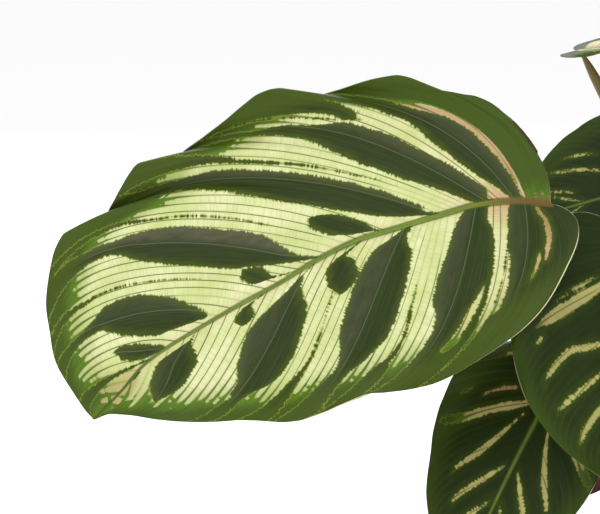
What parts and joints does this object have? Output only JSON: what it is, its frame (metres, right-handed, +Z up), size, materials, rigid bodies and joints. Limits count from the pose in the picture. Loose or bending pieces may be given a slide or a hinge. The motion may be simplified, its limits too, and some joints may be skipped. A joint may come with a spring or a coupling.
{
  "type": "potted peacock plant",
  "caption": "Tuft of broad peacock-patterned leaves on slender stalks, growing from soil in a tapered clay pot with a thick rim.",
  "frame": {"origin": "middle of the pot's flat base, on the surface it stands on", "axes": "+Z up; -Y is the side the picture sees, with the largest leaf pointing towards -X"},
  "size_m": [0.4834, 0.3816, 0.422],
  "materials": {
    "clay": "matte unglazed terracotta",
    "soil": "matte crumbly potting soil",
    "leaf": "satin leaf, pale green feathered with dark green blotches, wine-purple beneath",
    "stalk": "satin, wine-brown to green",
    "new_leaf": "satin, pale green, rolled"
  },
  "bodies": {
    "root": {"pot": "clay", "soil": "soil", "show_leaf_blade": "leaf", "show_leaf_stem": "stalk", "front_leaf_blade": "leaf", "front_leaf_stem": "stalk", "front_low_leaf_blade": "leaf", "front_low_leaf_stem": "stalk", "behind_leaf_blade": "leaf", "behind_leaf_stem": "stalk", "top_leaf_blade": "leaf", "top_leaf_stem": "stalk", "low_leaf_1_blade": "leaf", "low_leaf_1_stem": "stalk", "low_leaf_2_blade": "leaf", "low_leaf_2_stem": "stalk", "low_leaf_3_blade": "leaf", "low_leaf_3_stem": "stalk", "low_leaf_4_blade": "leaf", "low_leaf_4_stem": "stalk", "low_leaf_5_blade": "leaf", "low_leaf_5_stem": "stalk", "low_leaf_6_blade": "leaf", "low_leaf_6_stem": "stalk", "low_leaf_7_blade": "leaf", "low_leaf_7_stem": "stalk", "mid_leaf_1_blade": "leaf", "mid_leaf_1_stem": "stalk", "mid_leaf_2_blade": "leaf", "mid_leaf_2_stem": "stalk", "mid_leaf_3_blade": "leaf", "mid_leaf_3_stem": "stalk", "mid_leaf_4_blade": "leaf", "mid_leaf_4_stem": "stalk", "high_leaf_1_blade": "leaf", "high_leaf_1_stem": "stalk", "high_leaf_2_blade": "leaf", "high_leaf_2_stem": "stalk", "high_leaf_3_blade": "leaf", "high_leaf_3_stem": "stalk", "high_leaf_4_blade": "leaf", "high_leaf_4_stem": "stalk", "new_leaf_1": "new_leaf", "new_leaf_2": "new_leaf"}
  },
  "joints": []
}
